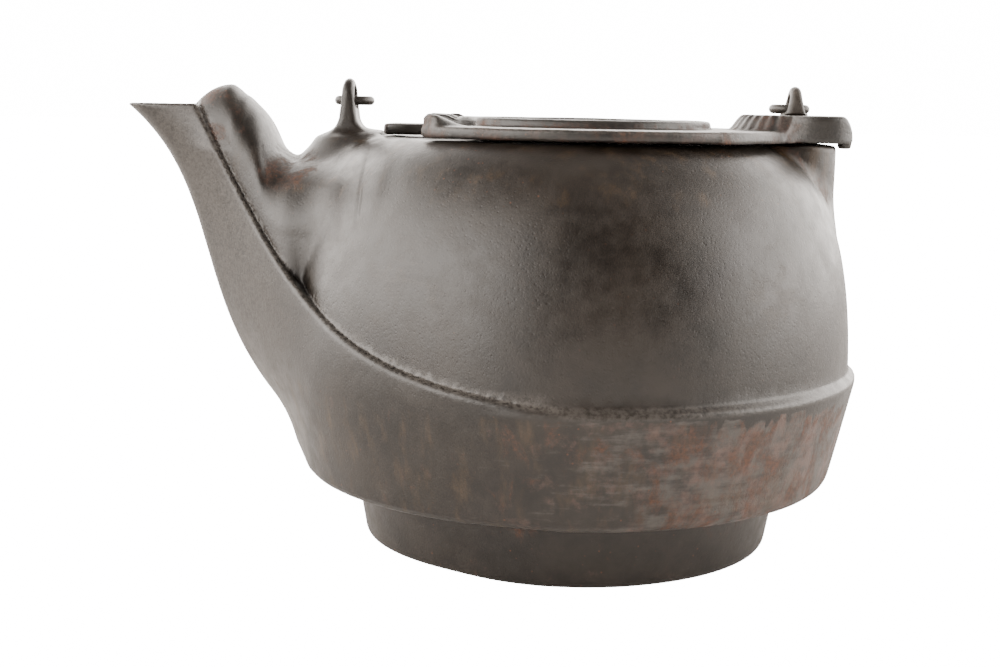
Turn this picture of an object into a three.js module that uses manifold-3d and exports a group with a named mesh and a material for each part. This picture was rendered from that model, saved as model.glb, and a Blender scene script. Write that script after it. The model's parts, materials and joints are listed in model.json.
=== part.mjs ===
// Antique cast iron tea kettle with a swivel lid and a wire bail.
// Units are millimetres. +Z is up, the origin is the centre of the flat foot,
// and the spout points along -X.
import * as THREE from "three";
import { mergeVertices } from "three/addons/utils/BufferGeometryUtils.js";
import Module from "manifold-3d";

const wasm = await Module();
wasm.setup();

// ---- Driving dimensions ----
const GAP = 0.3; // clearance between touching pieces
const WALL = 2.8; // wall of the casting
const ROUND_STEPS = 48; // sides of a turned surface

const FOOT_RADIUS = 88.9; // 7 inch foot, which sits in a stove's eye
const FOOT_TOP_RADIUS = 94;
const FOOT_HEIGHT = 29;
const FOOT_EDGE = 4; // rounded bottom edge of the foot
const UNDERSIDE_RADIUS = 107; // flat underside outside the foot
const CORNER_RADIUS = 116; // the lower body above its rounded bottom corner
const CORNER_Z = 37.5;
const BELT_RADIUS = 124.5;
const BELT_Z = 75;
const LEDGE_Z = 79; // where the dome starts
const SHELL_STEP = 3; // the lower shell stands proud of the dome by this
const DOME_RADIUS = BELT_RADIUS - SHELL_STEP;
const DOME_STRAIGHT_Z = 95; // the dome's side is upright up to here
const DECK_Z = 173.7; // flat top of the dome, under the lid
const DECK_RADIUS = 83;
const FLOOR_Z = 4; // inside floor, over the foot
const REACH = 140; // wider than the round body, for cutting tools
const MID_Z = 160; // inside the dome's top, where tools that cut the lid or the lip start
const HIGH_Z = 200; // above everything

const SLICE_STEP = 8; // height between the spout's modelled slices
const HOOD_STEP = 3.5; // the spout's hood stands inside the lower shell's rim by this
const HOOD_FRONT_X = -166;
const HOOD_BACK_X = -98;
const HOOD_DEPTH = 40; // modelled height of the hood's sides, under its arch
const SEAM_LAP = 4; // the spout's channel stops this far under the casting step
const LIP_Z = 185.9;
const SPOUT_FOOT_Z = 34; // where the spout's edge leaves the lower body
const CHANNEL_FOOT_Z = 46; // where the spout's channel leaves the lower body's hollow

const LID_X = 4.2; // centre of the lid and of the mouth
const MOUTH_RADIUS = 50;
const LID_BOTTOM_Z = DECK_Z + 0.6;
const LID_TOP_Z = 179.1;
const LID_RADIUS = 86;
const MEDALLION_RADIUS = 54.6;
const MEDALLION_Z = 182.6;
const MEDALLION_WALL = 4; // the lid's middle is dished underneath
const SCALLOP_X = -63;
const SCALLOP_Y = 34;
const SCALLOP_RADIUS = 22.5;
const SCALLOP_LIP = 3;
const SCALLOP_LIP_Z = 183;
const SCALLOP_LIP_INSET = 12; // the lips stop this far inside the lid's rim

const PIVOT_X = 94.6; // the lid turns about this upright line
const LID_SWEEP = PIVOT_X + LID_RADIUS - LID_X + 0.6; // just clear of the turning lid's rim
const BOSS_RADIUS = 18.4;
const BOSS_FOOT_Z = 138; // where the boss has merged into the dome's side
const BOSS_PAD_RADIUS = 13;
const BOSS_PAD_Z = 148; // underside of the boss, inside the kettle
const HUB_TOP_Z = 185.8;
const HUB_HALF_WIDTH = 15;
const HUB_END_X = 119.4;
const SHANK_RADIUS = 6;
const BORE_RADIUS = SHANK_RADIUS + GAP;
const STOP_PIN_X = 116.8;
const STOP_PIN_RADIUS = 3;
const STOP_PIN_BOTTOM_Z = 172;
const STOP_PIN_DEPTH = 5; // its socket in the hub

const PAD_FOOT_Z = 140; // inside the dome, under the front ear's pad
const PAD_RADIUS = 17.4;

const LID_WASHER_RADIUS = 11;
const PIVOT_WASHER_RADIUS = 9.5;
const WASHER_THICKNESS = 1.6;
const NUT_ACROSS_CORNERS = 18;
const NUT_HEIGHT = 7;

const BAIL_Z = 188.5; // the bail swings about this line along X
const WIRE_RADIUS = 2;
const EAR_X = -97.5;
const EAR_THICKNESS = 4.5;
const EAR_HALF_WIDTH = 8;
const EAR_HOLE_Z = 190.1;
const EAR_HOLE_RADIUS = 3.9;
const STEM_OFFSET = 5.2; // from an ear's middle to the bail's stem outside it
const CURL_OFFSET = 8; // from an ear's middle to the hook's inner bend
const CURL_REACH = 12; // from the bail's line back to the hook's end run
const NECK_LENGTH = 27; // level part of each stem
const NECK_DROP_DEG = 20; // the rest of the bail slopes down by this
const BAIL_LENGTH = 112; // sloping length, from the neck to the grip
const BAIL_CORNER = 48; // radius of the bail's two corners
const GRIP_RADIUS = 11;
const GRIP_LENGTH = 100;

const BLACK_IRON = { color: 0x2b2826, roughness: 0.6, metalness: 0.75 };
const GREY_IRON = { color: 0x3a3836, roughness: 0.55, metalness: 0.8 };
const RUSTY_IRON = { color: 0x4a372c, roughness: 0.75, metalness: 0.6 };

// ---- From three.js shapes to closed solids and back ----

// A manifold solid of a three.js geometry, with its faces turned outwards.
function solid(geometry) {
  const plain = geometry.index ? geometry.toNonIndexed() : geometry.clone();
  plain.deleteAttribute("normal");
  plain.deleteAttribute("uv");
  const merged = mergeVertices(plain, 1e-3);
  const corners = merged.index.array;
  const triVerts = [];
  for (let i = 0; i < corners.length; i += 3) {
    const [a, b, c] = [corners[i], corners[i + 1], corners[i + 2]];
    if (a !== b && b !== c && c !== a) triVerts.push(a, b, c);
  }
  const build = (order) =>
    new wasm.Manifold(
      new wasm.Mesh({
        numProp: 3,
        vertProperties: merged.attributes.position.array,
        triVerts: new Uint32Array(order),
      }),
    );
  const made = build(triVerts);
  return made.volume() > 0 ? made : build(triVerts.reverse());
}

function geometryOf(shape) {
  const mesh = shape.getMesh();
  const geometry = new THREE.BufferGeometry();
  const positions = new Float32Array(mesh.numVert * 3);
  for (let i = 0; i < mesh.numVert; i++)
    for (let k = 0; k < 3; k++)
      positions[3 * i + k] = mesh.vertProperties[i * mesh.numProp + k];
  geometry.setAttribute("position", new THREE.BufferAttribute(positions, 3));
  geometry.setIndex(new THREE.BufferAttribute(new Uint32Array(mesh.triVerts), 1));
  geometry.computeVertexNormals();
  return geometry;
}

function join(...shapes) {
  return shapes.reduce((all, next) => all.add(next));
}

// A solid turned about Z from an outline of [radius, z] points that starts and ends on the axis.
function turned(outline, x = 0, y = 0, sides = ROUND_STEPS) {
  const points = outline.map(([r, z]) => new THREE.Vector2(r, z));
  const geometry = new THREE.LatheGeometry(points, sides);
  geometry.rotateX(Math.PI / 2);
  geometry.translate(x, y, 0);
  return solid(geometry);
}

// An upright round bar.
function post(radius, zLow, zHigh, x = 0, y = 0, sides = 32) {
  const outline = [[0, zLow], [radius, zLow], [radius, zHigh], [0, zHigh]];
  return turned(outline, x, y, sides);
}

// A flat XY outline raised from zLow to zHigh.
function raised(shape, zLow, zHigh, curveSegments = 12) {
  const options = { depth: zHigh - zLow, bevelEnabled: false, curveSegments };
  const geometry = new THREE.ExtrudeGeometry(shape, options);
  geometry.translate(0, 0, zLow);
  return solid(geometry);
}

// An XZ outline carried along Y from -halfWidth to halfWidth.
function acrossY(points, halfWidth) {
  const shape = new THREE.Shape(points.map(([x, z]) => new THREE.Vector2(x, z)));
  const options = { depth: 2 * halfWidth, bevelEnabled: false };
  const geometry = new THREE.ExtrudeGeometry(shape, options);
  geometry.rotateX(Math.PI / 2);
  geometry.translate(0, halfWidth, 0);
  return solid(geometry);
}

// A closed skin through rings of points, each ring going the same way round, capped at both ends.
function lofted(rings) {
  const count = rings[0].length;
  const positions = [];
  const index = [];
  const middle = (ring) =>
    ring
      .reduce((sum, p) => sum.add(p), new THREE.Vector3())
      .multiplyScalar(1 / ring.length);
  for (const ring of rings) for (const p of ring) positions.push(p.x, p.y, p.z);
  for (let i = 0; i + 1 < rings.length; i++)
    for (let k = 0; k < count; k++) {
      const a = i * count + k;
      const b = i * count + ((k + 1) % count);
      index.push(a, b, b + count, a, b + count, a + count);
    }
  const ends = [
    [0, rings[0], false],
    [(rings.length - 1) * count, rings.at(-1), true],
  ];
  for (const [first, ring, isLast] of ends) {
    const hub = positions.length / 3;
    const centre = middle(ring);
    positions.push(centre.x, centre.y, centre.z);
    for (let k = 0; k < count; k++) {
      const a = first + k;
      const b = first + ((k + 1) % count);
      if (isLast) index.push(hub, a, b);
      else index.push(hub, b, a);
    }
  }
  const geometry = new THREE.BufferGeometry();
  geometry.setAttribute("position", new THREE.Float32BufferAttribute(positions, 3));
  geometry.setIndex(index);
  return solid(geometry);
}

// ---- Curves that shape the casting, all in the XZ plane as [x, z] ----

function bezier(start, control1, control2, end) {
  return new THREE.CubicBezierCurve(
    new THREE.Vector2(...start),
    new THREE.Vector2(...control1),
    new THREE.Vector2(...control2),
    new THREE.Vector2(...end),
  );
}

const domeCurve = bezier([DOME_RADIUS, DOME_STRAIGHT_Z], [116.3, 120.5], [117.8, 158.6], [DECK_RADIUS, 173]);
const throatUpper = bezier([-195.7, 185.9], [-153.5, 151.1], [-168.7, 107.3], [-131.6, 60]);
const throatLower = bezier([-131.6, 60], [-126.5, 53.5], [-122.5, 46], [-119.4, 32.8]);
const seamCurve = bezier([-42, 83.6], [-108.8, 96.2], [-127.8, 125.3], [-162, 188]);
const hoodFront = bezier([-165.7, 185.2], [-161, 190.5], [-156, 194.6], [-148.4, 194.6]);
const hoodBack = bezier([-148.4, 194.6], [-124.1, 177.9], [-134.3, 169.6], [-119.8, 163.1]);

function sampled(curve, steps) {
  return curve.getPoints(steps).map((p) => [p.x, p.y]);
}

// Reads column `to` of a list of [x, z] pairs where column `from` has the given value.
function readOff(pairs, from, to, value) {
  const sorted = [...pairs].sort((a, b) => a[from] - b[from]);
  if (value <= sorted[0][from]) return sorted[0][to];
  for (let i = 1; i < sorted.length; i++)
    if (value <= sorted[i][from]) {
      const [low, high] = [sorted[i - 1], sorted[i]];
      const share = (value - low[from]) / (high[from] - low[from] || 1);
      return low[to] + share * (high[to] - low[to]);
    }
  return sorted.at(-1)[to];
}

const throatLine = [...sampled(throatUpper, 24), ...sampled(throatLower, 24).slice(1)];
const domeLine = [[DOME_RADIUS, LEDGE_Z], ...sampled(domeCurve, 24)];
const hoodLine = [...sampled(hoodFront, 12), ...sampled(hoodBack, 24).slice(1)];

const throatX = (z) => readOff(throatLine, 1, 0, z);
const throatZ = (x) => readOff(throatLine, 0, 1, x);
const domeRadius = (z) => readOff(domeLine, 1, 0, z);
const hoodTop = (x) => readOff(hoodLine, 0, 1, x);

// Half the spout's width at its rounded edge, by height: it narrows towards the lip.
function edgeRadius(z) {
  return THREE.MathUtils.clamp(15 - 0.03 * (z - 110), 12.5, 15);
}

// Radius of the round part that a slice of the spout wraps: just inside the flared bowl's
// skin, then the dome, and above it a shrinking circle that runs the sides up to the lip.
const WRAP_TOP_Z = 166.7;
function wrapRadius(z) {
  const flare = THREE.MathUtils.mapLinear(z, CORNER_Z, BELT_Z, CORNER_RADIUS, BELT_RADIUS);
  if (z < BELT_Z) return flare - 1.5;
  if (z < WRAP_TOP_Z) return domeRadius(z) + SHELL_STEP;
  const shrinking = domeRadius(WRAP_TOP_Z) + SHELL_STEP - 3.1 * (z - WRAP_TOP_Z);
  return Math.max(shrinking, edgeRadius(z) + 2);
}

// One level slice of the spout: the outline that a band would take round a circle at the
// kettle's axis and the spout's rounded edge, from one side to the other.
function spoutSlice(z, inset, backInset) {
  const front = edgeRadius(z);
  const frontX = throatX(z) + front;
  const back = wrapRadius(z);
  const lean = Math.asin(THREE.MathUtils.clamp((back - front) / -frontX, 0, 0.98));
  const ring = [];
  const frontSteps = 8;
  const sweep = Math.PI / 2 - lean;
  for (let i = 0; i <= frontSteps; i++) {
    const angle = sweep * (1 - (2 * i) / frontSteps);
    const r = front - inset;
    ring.push(new THREE.Vector3(frontX - r * Math.cos(angle), r * Math.sin(angle), z));
  }
  const backSteps = 5;
  for (let i = 0; i <= backSteps; i++) {
    const angle = -sweep + (sweep * 2 * i) / backSteps;
    const r = back - backInset;
    ring.push(new THREE.Vector3(-r * Math.cos(angle), r * Math.sin(angle), z));
  }
  return ring;
}

function spoutLoft(zLow, zHigh, inset, backInset = inset) {
  const count = Math.ceil((zHigh - zLow) / SLICE_STEP);
  const rings = [];
  for (let i = 0; i <= count; i++)
    rings.push(spoutSlice(zLow + ((zHigh - zLow) * i) / count, inset, backInset));
  return lofted(rings);
}

// Half the width of a level slice of the spout at one x.
function sliceHalfWidth(x, z, inset) {
  const front = edgeRadius(z);
  const frontX = throatX(z) + front;
  const back = wrapRadius(z);
  const lean = Math.asin(THREE.MathUtils.clamp((back - front) / -frontX, 0, 0.98));
  const frontEnd = frontX - front * Math.sin(lean);
  const backEnd = -back * Math.sin(lean);
  const round = (radius, offset) => Math.sqrt(Math.max(radius ** 2 - offset ** 2, 0));
  if (x < frontEnd) return round(front - inset, x - frontX);
  if (x > backEnd) return round(back - inset, x);
  const share = (x - frontEnd) / (backEnd - frontEnd);
  return THREE.MathUtils.lerp(front, back, share) * Math.cos(lean) - inset / Math.cos(lean);
}

// The hood over the spout: upright cross-sections with a rounded ridge, which stand inside
// the lower shell's rim by the casting step.
function hoodLoft(xFront, xBack, inset) {
  const rings = [];
  const stations = 12;
  const arch = 6;
  for (let i = 0; i <= stations; i++) {
    const x = xFront + ((xBack - xFront) * i) / stations;
    const top = hoodTop(x) - inset;
    const rise = THREE.MathUtils.clamp(14 + 0.5 * (x - HOOD_FRONT_X), 14, 30);
    const low = Math.max(top - rise - HOOD_DEPTH, throatZ(x - 6));
    const half = (z) => sliceHalfWidth(x, z, HOOD_STEP + inset);
    const side = [];
    side.push([half(low), low]);
    side.push([half((low + top - rise) / 2), (low + top - rise) / 2]);
    for (let k = 0; k <= arch; k++) {
      const angle = (Math.PI / 2) * (k / arch);
      const z = top - rise + rise * Math.sin(angle);
      side.push([half(top - rise) * Math.cos(angle), z]);
    }
    const ring = side.map(([y, z]) => new THREE.Vector3(x, y, z));
    for (const [y, z] of side.slice(0, -1).reverse()) ring.push(new THREE.Vector3(x, -y, z));
    rings.push(ring);
  }
  return lofted(rings);
}

// Everything under the spout's casting step, as a wide block that follows it.
function belowSeam(drop) {
  const line = sampled(seamCurve, 20).map(([x, z]) => [x, z - drop]);
  const [, rimZ] = line.at(-1);
  const outline = [[REACH, 0], [REACH, LEDGE_Z - drop], [0, LEDGE_Z - drop], ...line];
  outline.push([-1.5 * REACH, rimZ], [-1.5 * REACH, 0]);
  return acrossY(outline, REACH);
}

// ---- Body ----

function bowlOutline() {
  const top = LEDGE_Z - 2.5;
  return [
    [0, 0],
    [FOOT_RADIUS - FOOT_EDGE, 0],
    [FOOT_RADIUS - 1.2, 1.2],
    [FOOT_RADIUS, FOOT_EDGE],
    [FOOT_TOP_RADIUS, FOOT_HEIGHT],
    [UNDERSIDE_RADIUS, FOOT_HEIGHT],
    [UNDERSIDE_RADIUS + 5.6, FOOT_HEIGHT + 1.4],
    [UNDERSIDE_RADIUS + 8.2, FOOT_HEIGHT + 4.2],
    [CORNER_RADIUS, CORNER_Z],
    [BELT_RADIUS, BELT_Z],
    [BELT_RADIUS, top],
    [DOME_RADIUS, LEDGE_Z],
    [0, LEDGE_Z],
  ];
}

function domeOutline(inset) {
  const side = sampled(domeCurve, 10).map(([r, z]) => [r - inset, z - 0.45 * inset]);
  const top = DECK_Z - inset;
  const shoulder = side.filter(([, z]) => z < top - 0.2);
  return [
    [0, BELT_Z + 1],
    [DOME_RADIUS - inset, BELT_Z + 1],
    ...shoulder,
    [DECK_RADIUS - 1 - inset, top],
    [0, top],
  ];
}

// The hollow inside the lower body and the foot.
function bowlHollow() {
  const outline = [
    [0, FLOOR_Z],
    [FOOT_RADIUS - WALL - 2, FLOOR_Z],
    [FOOT_RADIUS - WALL + 1, FLOOR_Z + 4],
    [FOOT_TOP_RADIUS - WALL, FOOT_HEIGHT + WALL],
    [UNDERSIDE_RADIUS, FOOT_HEIGHT + WALL],
    [UNDERSIDE_RADIUS + 4.2, FOOT_HEIGHT + WALL + 4.2],
    [DOME_RADIUS - WALL, BELT_Z - 2],
    [DOME_RADIUS - WALL, LEDGE_Z + 2],
    [0, LEDGE_Z + 2],
  ];
  return turned(outline);
}

// The upright lug that a bail hook passes through.
function ear(x, zBase) {
  const crown = EAR_HOLE_Z;
  const shape = new THREE.Shape();
  shape.moveTo(-EAR_HALF_WIDTH, zBase);
  shape.lineTo(EAR_HALF_WIDTH, zBase);
  shape.lineTo(EAR_HALF_WIDTH, crown);
  shape.absarc(0, crown, EAR_HALF_WIDTH, 0, Math.PI, false);
  shape.closePath();
  const hole = new THREE.Path();
  hole.absarc(0, crown, EAR_HOLE_RADIUS, 0, 2 * Math.PI, true);
  shape.holes.push(hole);
  const options = { depth: EAR_THICKNESS, bevelEnabled: false, curveSegments: 16 };
  const geometry = new THREE.ExtrudeGeometry(shape, options);
  // The outline is drawn as (y, z) and its thickness lies along X.
  geometry.applyMatrix4(
    new THREE.Matrix4().set(0, 0, 1, x - EAR_THICKNESS / 2, 1, 0, 0, 0, 0, 1, 0, 0, 0, 0, 0, 1),
  );
  return solid(geometry);
}

// The raised pad in front of the lid that carries the front ear.
function frontPad() {
  const crown = [[PAD_RADIUS, 163], [16.5, 168], [13.9, 172], [8.6, 175.2], [0, 176]];
  const outline = [[0, PAD_FOOT_Z], [PAD_RADIUS, PAD_FOOT_Z], ...crown];
  const pad = turned(outline, EAR_X, 0, 32);
  const lidSweep = post(LID_SWEEP, DECK_Z, HIGH_Z, PIVOT_X, 0, 96);
  return pad.subtract(lidSweep);
}

function kettleBody() {
  const lowerSkin = spoutLoft(SPOUT_FOOT_Z, LIP_Z, 0).intersect(belowSeam(0));
  const upperSkin = hoodLoft(HOOD_FRONT_X, HOOD_BACK_X, 0);
  const rearBoss = post(BOSS_RADIUS, BOSS_FOOT_Z, DECK_Z, PIVOT_X, 0, 40);
  const round = join(turned(bowlOutline()), turned(domeOutline(0)), rearBoss, frontPad());
  const outside = join(round, lowerSkin, upperSkin);
  const hoodFrontX = HOOD_FRONT_X - 2;
  const aboveLip = LIP_Z + 4.1;
  const channel = spoutLoft(CHANNEL_FOOT_Z, aboveLip, WALL, WALL + 2);
  const lowChannel = channel.intersect(belowSeam(SEAM_LAP));
  const underHood = hoodLoft(hoodFrontX, HOOD_BACK_X, WALL);
  const lipCorners = [[-HIGH_Z, MID_Z], [hoodFrontX, MID_Z], [hoodFrontX, HIGH_Z], [-HIGH_Z, HIGH_Z]];
  const lipMouth = spoutLoft(MID_Z, aboveLip, WALL).intersect(acrossY(lipCorners, BOSS_RADIUS));
  const hollow = join(bowlHollow(), turned(domeOutline(WALL)), lowChannel, underHood, lipMouth);
  const mouth = post(MOUTH_RADIUS, MID_Z, DECK_Z + 1, LID_X, 0, 48);
  const pad = post(BOSS_PAD_RADIUS, BOSS_PAD_Z, DECK_Z, PIVOT_X);
  const bore = post(BORE_RADIUS, BOSS_PAD_Z - 1, DECK_Z + 1, PIVOT_X);
  return outside
    .subtract(hollow)
    .subtract(mouth)
    .add(pad)
    .subtract(bore)
    .add(ear(EAR_X, 172));
}

// ---- Lid ----

const WASHER_Z = DECK_Z + GAP; // underside of the washer that the hub turns on

function lidFlange() {
  const outline = [
    [0, MEDALLION_Z - MEDALLION_WALL],
    [MEDALLION_RADIUS - 6, MEDALLION_Z - MEDALLION_WALL],
    [MEDALLION_RADIUS - 5, LID_BOTTOM_Z],
    [LID_RADIUS - 1, LID_BOTTOM_Z],
    [LID_RADIUS, LID_BOTTOM_Z + 1],
    [LID_RADIUS, LID_TOP_Z - 1.5],
    [LID_RADIUS - 1.5, LID_TOP_Z],
    [MEDALLION_RADIUS + 2, LID_TOP_Z],
    [MEDALLION_RADIUS, MEDALLION_Z - 1],
    [MEDALLION_RADIUS - 2, MEDALLION_Z],
    [0, MEDALLION_Z],
  ];
  return turned(outline, LID_X);
}

// A thin raised crescent round the inner side of a finger scallop.
function scallopLip(side) {
  const outer = SCALLOP_RADIUS + SCALLOP_LIP;
  const outline = [
    [0, LID_BOTTOM_Z],
    [outer, LID_BOTTOM_Z],
    [outer, LID_TOP_Z],
    [outer - 0.8, SCALLOP_LIP_Z],
    [0, SCALLOP_LIP_Z],
  ];
  const ring = turned(outline, SCALLOP_X, side * SCALLOP_Y, 48);
  const inside = post(LID_RADIUS - SCALLOP_LIP_INSET, MID_Z, HIGH_Z, LID_X, 0, 64);
  return ring.intersect(inside);
}

// The crowned hub at the rear: a sloping front, a level top and a rounded end.
function lidHub() {
  const side = [
    [70, LID_BOTTOM_Z],
    [70, LID_TOP_Z],
    [79, HUB_TOP_Z - 1],
    [84, HUB_TOP_Z],
    [HUB_END_X - 4, HUB_TOP_Z],
    [HUB_END_X - 0.5, HUB_TOP_Z - 4],
    [HUB_END_X, LID_BOTTOM_Z],
  ];
  const plan = new THREE.Shape();
  plan.moveTo(66, -24);
  plan.quadraticCurveTo(74, -HUB_HALF_WIDTH, 86, -HUB_HALF_WIDTH);
  plan.lineTo(HUB_END_X - 10, -HUB_HALF_WIDTH + 2);
  plan.quadraticCurveTo(HUB_END_X + 2, -10, HUB_END_X + 2, 0);
  plan.quadraticCurveTo(HUB_END_X + 2, 10, HUB_END_X - 10, HUB_HALF_WIDTH - 2);
  plan.lineTo(86, HUB_HALF_WIDTH);
  plan.quadraticCurveTo(74, HUB_HALF_WIDTH, 66, 24);
  plan.closePath();
  return acrossY(side, 2 * HUB_HALF_WIDTH).intersect(raised(plan, MID_Z, HIGH_Z));
}

function swivelLid() {
  const scallops = [-1, 1].map((side) =>
    post(SCALLOP_RADIUS, MID_Z, HIGH_Z, SCALLOP_X, side * SCALLOP_Y, 48),
  );
  const pinHole = post(STOP_PIN_RADIUS + GAP, MID_Z, LID_BOTTOM_Z + STOP_PIN_DEPTH, STOP_PIN_X, 0, 20);
  const washerTop = WASHER_Z + WASHER_THICKNESS + GAP;
  return join(lidFlange(), scallopLip(-1), scallopLip(1), lidHub())
    .subtract(scallops[0])
    .subtract(scallops[1])
    .subtract(post(BORE_RADIUS, MID_Z, HIGH_Z, PIVOT_X))
    .subtract(post(LID_WASHER_RADIUS + GAP, MID_Z, washerTop, PIVOT_X, 0, 40))
    .subtract(pinHole);
}

function lidStopPin() {
  const top = LID_BOTTOM_Z + STOP_PIN_DEPTH - GAP;
  const outline = [
    [0, STOP_PIN_BOTTOM_Z],
    [STOP_PIN_RADIUS - 0.8, STOP_PIN_BOTTOM_Z],
    [STOP_PIN_RADIUS, STOP_PIN_BOTTOM_Z + 0.8],
    [STOP_PIN_RADIUS, top],
    [0, top],
  ];
  return turned(outline, STOP_PIN_X, 0, 20);
}

// ---- Rear ear post and its washers and nut ----

const NUT_TOP_Z = BOSS_PAD_Z - WASHER_THICKNESS - 2 * GAP;
const SHANK_BOTTOM_Z = NUT_TOP_Z - NUT_HEIGHT - 2;

function rearEarPost() {
  const lug = ear(PIVOT_X, HUB_TOP_Z + GAP);
  return lug.add(post(SHANK_RADIUS, SHANK_BOTTOM_Z, HUB_TOP_Z + GAP + 0.1, PIVOT_X));
}

function washer(zLow, radius) {
  const disc = post(radius, zLow, zLow + WASHER_THICKNESS, PIVOT_X, 0, 40);
  return disc.subtract(post(BORE_RADIUS, zLow - 1, zLow + WASHER_THICKNESS + 1, PIVOT_X));
}

function pivotNut() {
  const bottom = NUT_TOP_Z - NUT_HEIGHT;
  const body = post(NUT_ACROSS_CORNERS / 2, bottom, NUT_TOP_Z, PIVOT_X, 0, 6);
  return body.subtract(post(BORE_RADIUS, bottom - 1, NUT_TOP_Z + 1, PIVOT_X));
}

// ---- Bail ----

const SLOPE = THREE.MathUtils.degToRad(NECK_DROP_DEG);

// A point of the bail: how far across, and how far back along its swan-necked stems.
function bailPoint(x, along, cornerRadius = 0) {
  const level = Math.min(along, NECK_LENGTH);
  const sloping = Math.max(along - NECK_LENGTH, 0);
  const y = level + sloping * Math.cos(SLOPE);
  const z = BAIL_Z - sloping * Math.sin(SLOPE);
  return { at: new THREE.Vector3(x, y, z), cornerRadius };
}

// One hook's corners, from its free end, through the ear's hole, to the wire's far corner.
function hookCorners(earX, outward) {
  const stemX = earX + outward * STEM_OFFSET;
  const innerX = earX - outward * CURL_OFFSET;
  return [
    bailPoint(earX + outward, CURL_REACH),
    bailPoint(innerX, CURL_REACH, 5),
    bailPoint(innerX, 0, 5),
    bailPoint(stemX, 0, 4),
    bailPoint(stemX, NECK_LENGTH, 40),
    bailPoint(stemX, NECK_LENGTH + BAIL_LENGTH, BAIL_CORNER),
  ];
}

// Points along a line through the corners, each corner rounded to its radius.
function roundedRoute(corners) {
  const points = [corners[0].at];
  for (let i = 1; i + 1 < corners.length; i++) {
    const { at, cornerRadius } = corners[i];
    const toLast = corners[i - 1].at.clone().sub(at).normalize();
    const toNext = corners[i + 1].at.clone().sub(at).normalize();
    const half = toLast.angleTo(toNext) / 2;
    const inward = toLast.clone().add(toNext).normalize();
    const centre = at.clone().addScaledVector(inward, cornerRadius / Math.sin(half));
    const start = at.clone().addScaledVector(toLast, cornerRadius / Math.tan(half));
    const axis = toNext.clone().cross(toLast).normalize();
    const turn = Math.PI - 2 * half;
    const steps = Math.max(2, Math.ceil(turn / 0.32));
    for (let k = 0; k <= steps; k++) {
      const arm = start.clone().sub(centre).applyAxisAngle(axis, (turn * k) / steps);
      points.push(centre.clone().add(arm));
    }
  }
  points.push(corners.at(-1).at);
  return points;
}

// A curve whose steps follow its points, so that tight bends get more steps than straights.
class Route extends THREE.CatmullRomCurve3 {
  getUtoTmapping(u) {
    return u;
  }
}

function roundSection(radius, sides) {
  const corners = [];
  for (let k = 0; k < sides; k++) {
    const angle = (2 * Math.PI * k) / sides;
    corners.push(new THREE.Vector2(radius * Math.cos(angle), radius * Math.sin(angle)));
  }
  return new THREE.Shape(corners);
}

function bailWire() {
  const rear = hookCorners(PIVOT_X, 1).reverse();
  const points = roundedRoute([...hookCorners(EAR_X, -1), ...rear]);
  const extrudePath = new Route(points, false, "centripetal");
  const options = { steps: points.length - 1, extrudePath, bevelEnabled: false };
  return solid(new THREE.ExtrudeGeometry(roundSection(WIRE_RADIUS, 8), options));
}

// The hollow grip on the level top of the bail: a sleeve that narrows on to the wire at its ends.
function bailGrip() {
  const half = GRIP_LENGTH / 2;
  const bore = WIRE_RADIUS + GAP;
  const wall = 2.4;
  const outline = [
    [bore, -half],
    [bore + wall, -half],
    [GRIP_RADIUS, -half + 9],
    [GRIP_RADIUS, half - 9],
    [bore + wall, half],
    [bore, half],
    [GRIP_RADIUS - wall, half - 10],
    [GRIP_RADIUS - wall, -half + 10],
    [bore, -half],
  ];
  const points = outline.map(([r, along]) => new THREE.Vector2(r, along));
  const geometry = new THREE.LatheGeometry(points, 24);
  geometry.rotateZ(Math.PI / 2);
  const middleX = (EAR_X + PIVOT_X) / 2;
  const { at } = bailPoint(middleX, NECK_LENGTH + BAIL_LENGTH);
  geometry.translate(at.x, at.y, at.z);
  return solid(geometry);
}

// ---- The assembly ----

const kettle = new THREE.Group();
kettle.name = "cast_iron_kettle";

function addPart(name, shape, finish) {
  const mesh = new THREE.Mesh(geometryOf(shape), new THREE.MeshStandardMaterial(finish));
  mesh.name = name;
  kettle.add(mesh);
}

addPart("kettle_body", kettleBody(), BLACK_IRON);
addPart("swivel_lid", swivelLid(), GREY_IRON);
addPart("lid_stop_pin", lidStopPin(), RUSTY_IRON);
addPart("rear_ear_post", rearEarPost(), RUSTY_IRON);
addPart("lid_washer", washer(WASHER_Z, LID_WASHER_RADIUS), RUSTY_IRON);
addPart("pivot_washer", washer(BOSS_PAD_Z - GAP - WASHER_THICKNESS, PIVOT_WASHER_RADIUS), RUSTY_IRON);
addPart("pivot_nut", pivotNut(), RUSTY_IRON);
addPart("bail", bailWire(), BLACK_IRON);
addPart("bail_grip", bailGrip(), BLACK_IRON);

export default kettle;
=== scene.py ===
"""Looks for an antique cast iron tea kettle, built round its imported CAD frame.

The castings are modelled as signed distance fields in millimetres, so that their parts flow
into each other with cast fillets, and are then turned into meshes in metres.
"""

import json
import math

import bpy
import numpy as np
import openvdb
from mathutils import Matrix, Vector


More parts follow.
